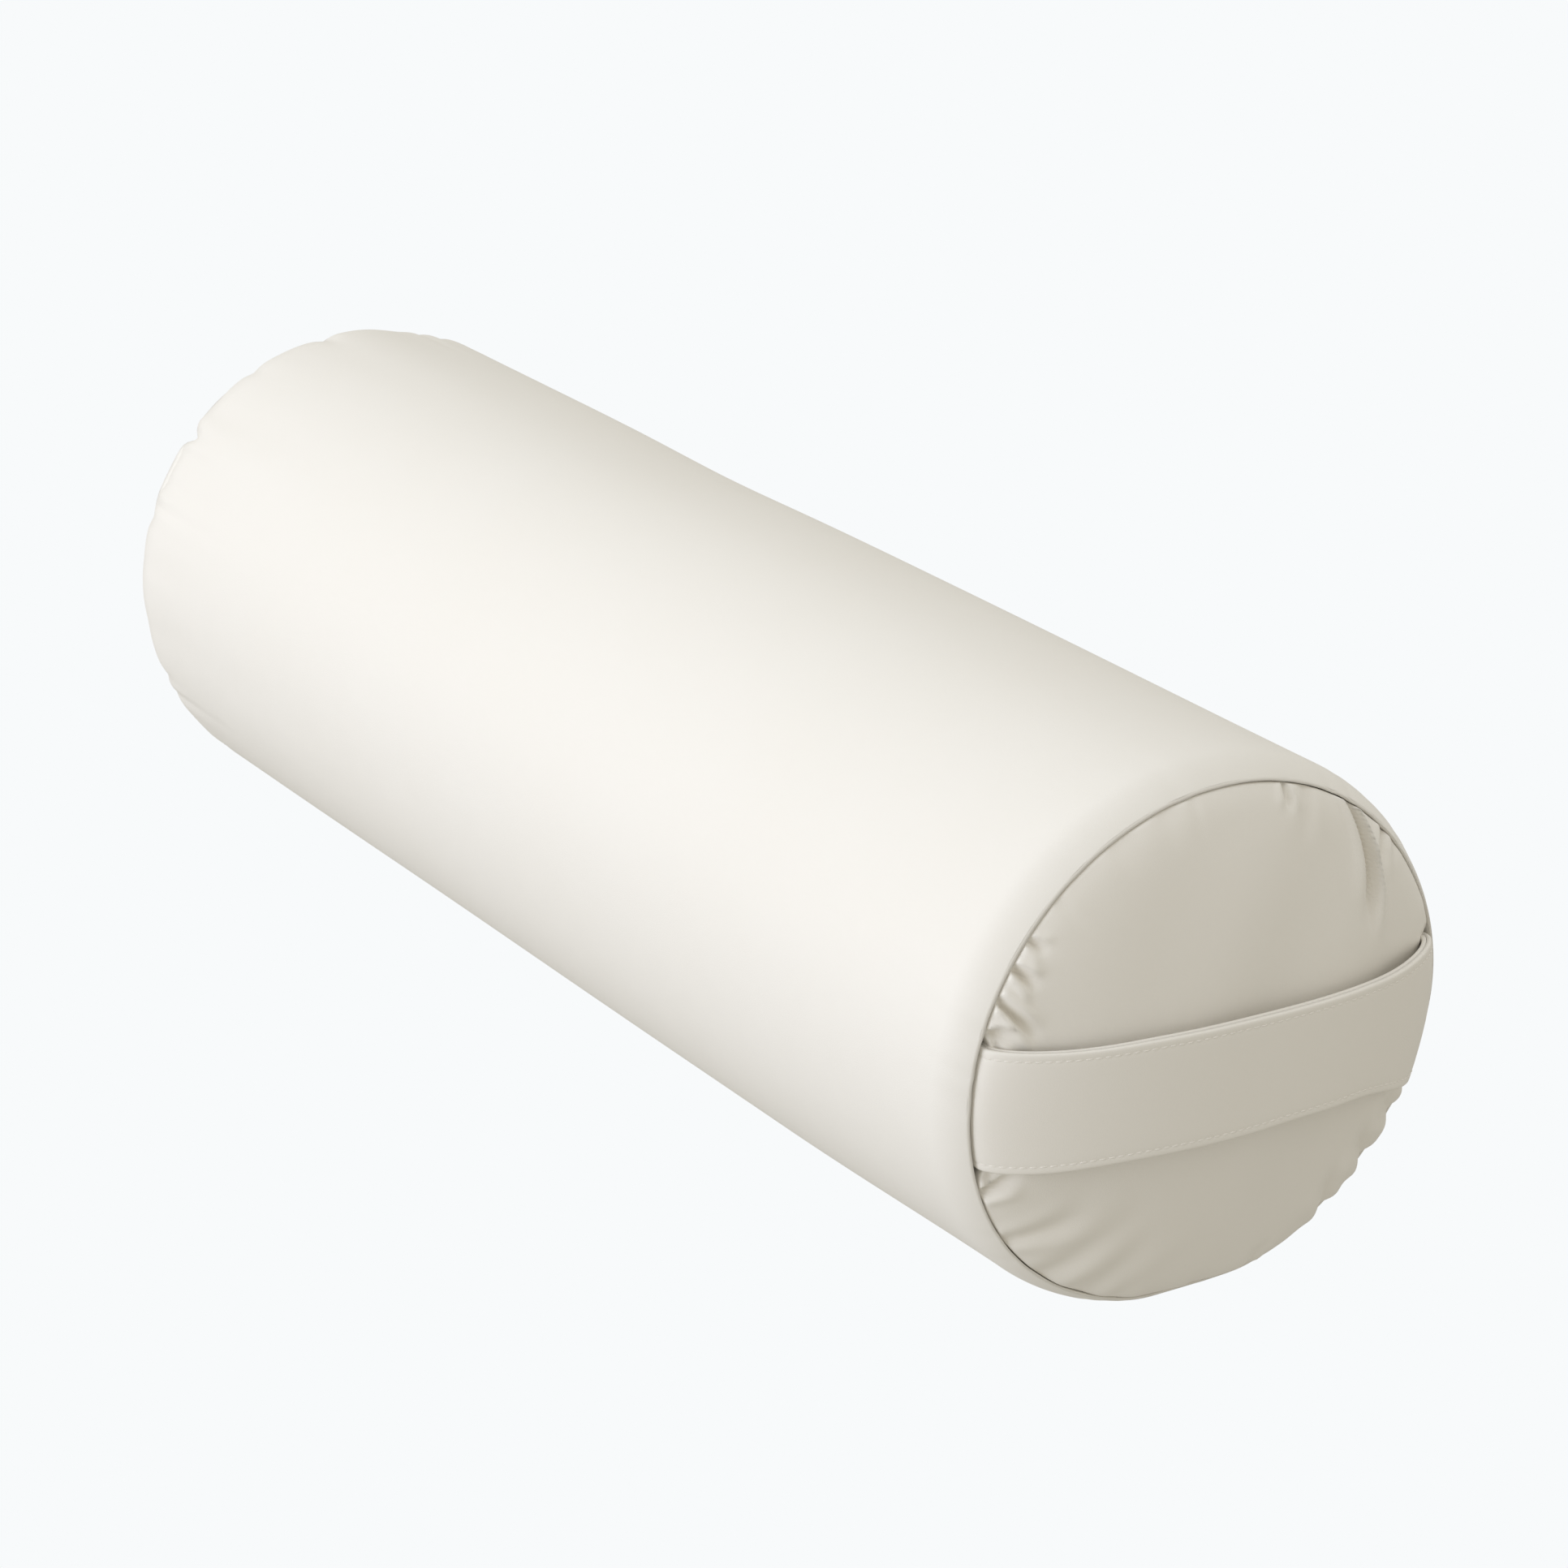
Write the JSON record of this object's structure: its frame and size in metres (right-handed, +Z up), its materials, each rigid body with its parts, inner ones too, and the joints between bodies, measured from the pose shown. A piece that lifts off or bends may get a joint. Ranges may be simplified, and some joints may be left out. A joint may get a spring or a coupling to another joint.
{
  "type": "massage bolster",
  "caption": "Round padded massage bolster in a smooth coated-fabric cover with crowned ends, a flat strap handle across one end and a zip along its back.",
  "frame": {"origin": "on the surface that the bolster rests on, under the middle of its length and width", "axes": "+X along the bolster towards the end with the strap handle, +Z up"},
  "size_m": [0.66, 0.211, 0.202],
  "materials": {
    "cover": "smooth matte coated fabric, cream white",
    "cover_end": "smooth matte coated fabric, cream white",
    "strap": "smooth matte coated fabric, folded and topstitched",
    "webbing": "woven webbing",
    "foam": "open-cell polyurethane foam",
    "batting": "polyester wadding",
    "zip_tape": "woven tape",
    "zip_coil": "moulded nylon",
    "zip_metal": "satin nickel plate"
  },
  "bodies": {
    "bolster": {"side_panel": "cover", "end_panel_near": "cover_end", "end_panel_far": "cover_end", "foam_core": "foam", "batting_wrap": "batting", "batting_pad_near": "batting", "batting_pad_far": "batting", "strap_face": "strap", "strap_webbing": "webbing", "strap_backing": "strap", "zip_tape_upper": "zip_tape", "zip_tape_lower": "zip_tape", "zip_coil_upper": "zip_coil", "zip_coil_lower": "zip_coil", "zip_top_stop_upper": "zip_metal", "zip_top_stop_lower": "zip_metal", "zip_bottom_stop": "zip_metal"},
    "slider": {"zip_slider": "zip_metal"},
    "pull_tab": {"zip_pull_tab": "zip_metal"}
  },
  "joints": [
    {"name": "zip_slide", "type": "slide", "parent": "bolster", "child": "slider", "axis": [1, 0, 0], "range_m": [0, 0.461]},
    {"name": "pull_tab_hinge", "type": "hinge", "parent": "slider", "child": "pull_tab", "pos_m": [-0.2314, 0.1014, 0.06406], "axis": [0, 0.3519, 0.9361], "range_deg": [0, 180]}
  ]
}
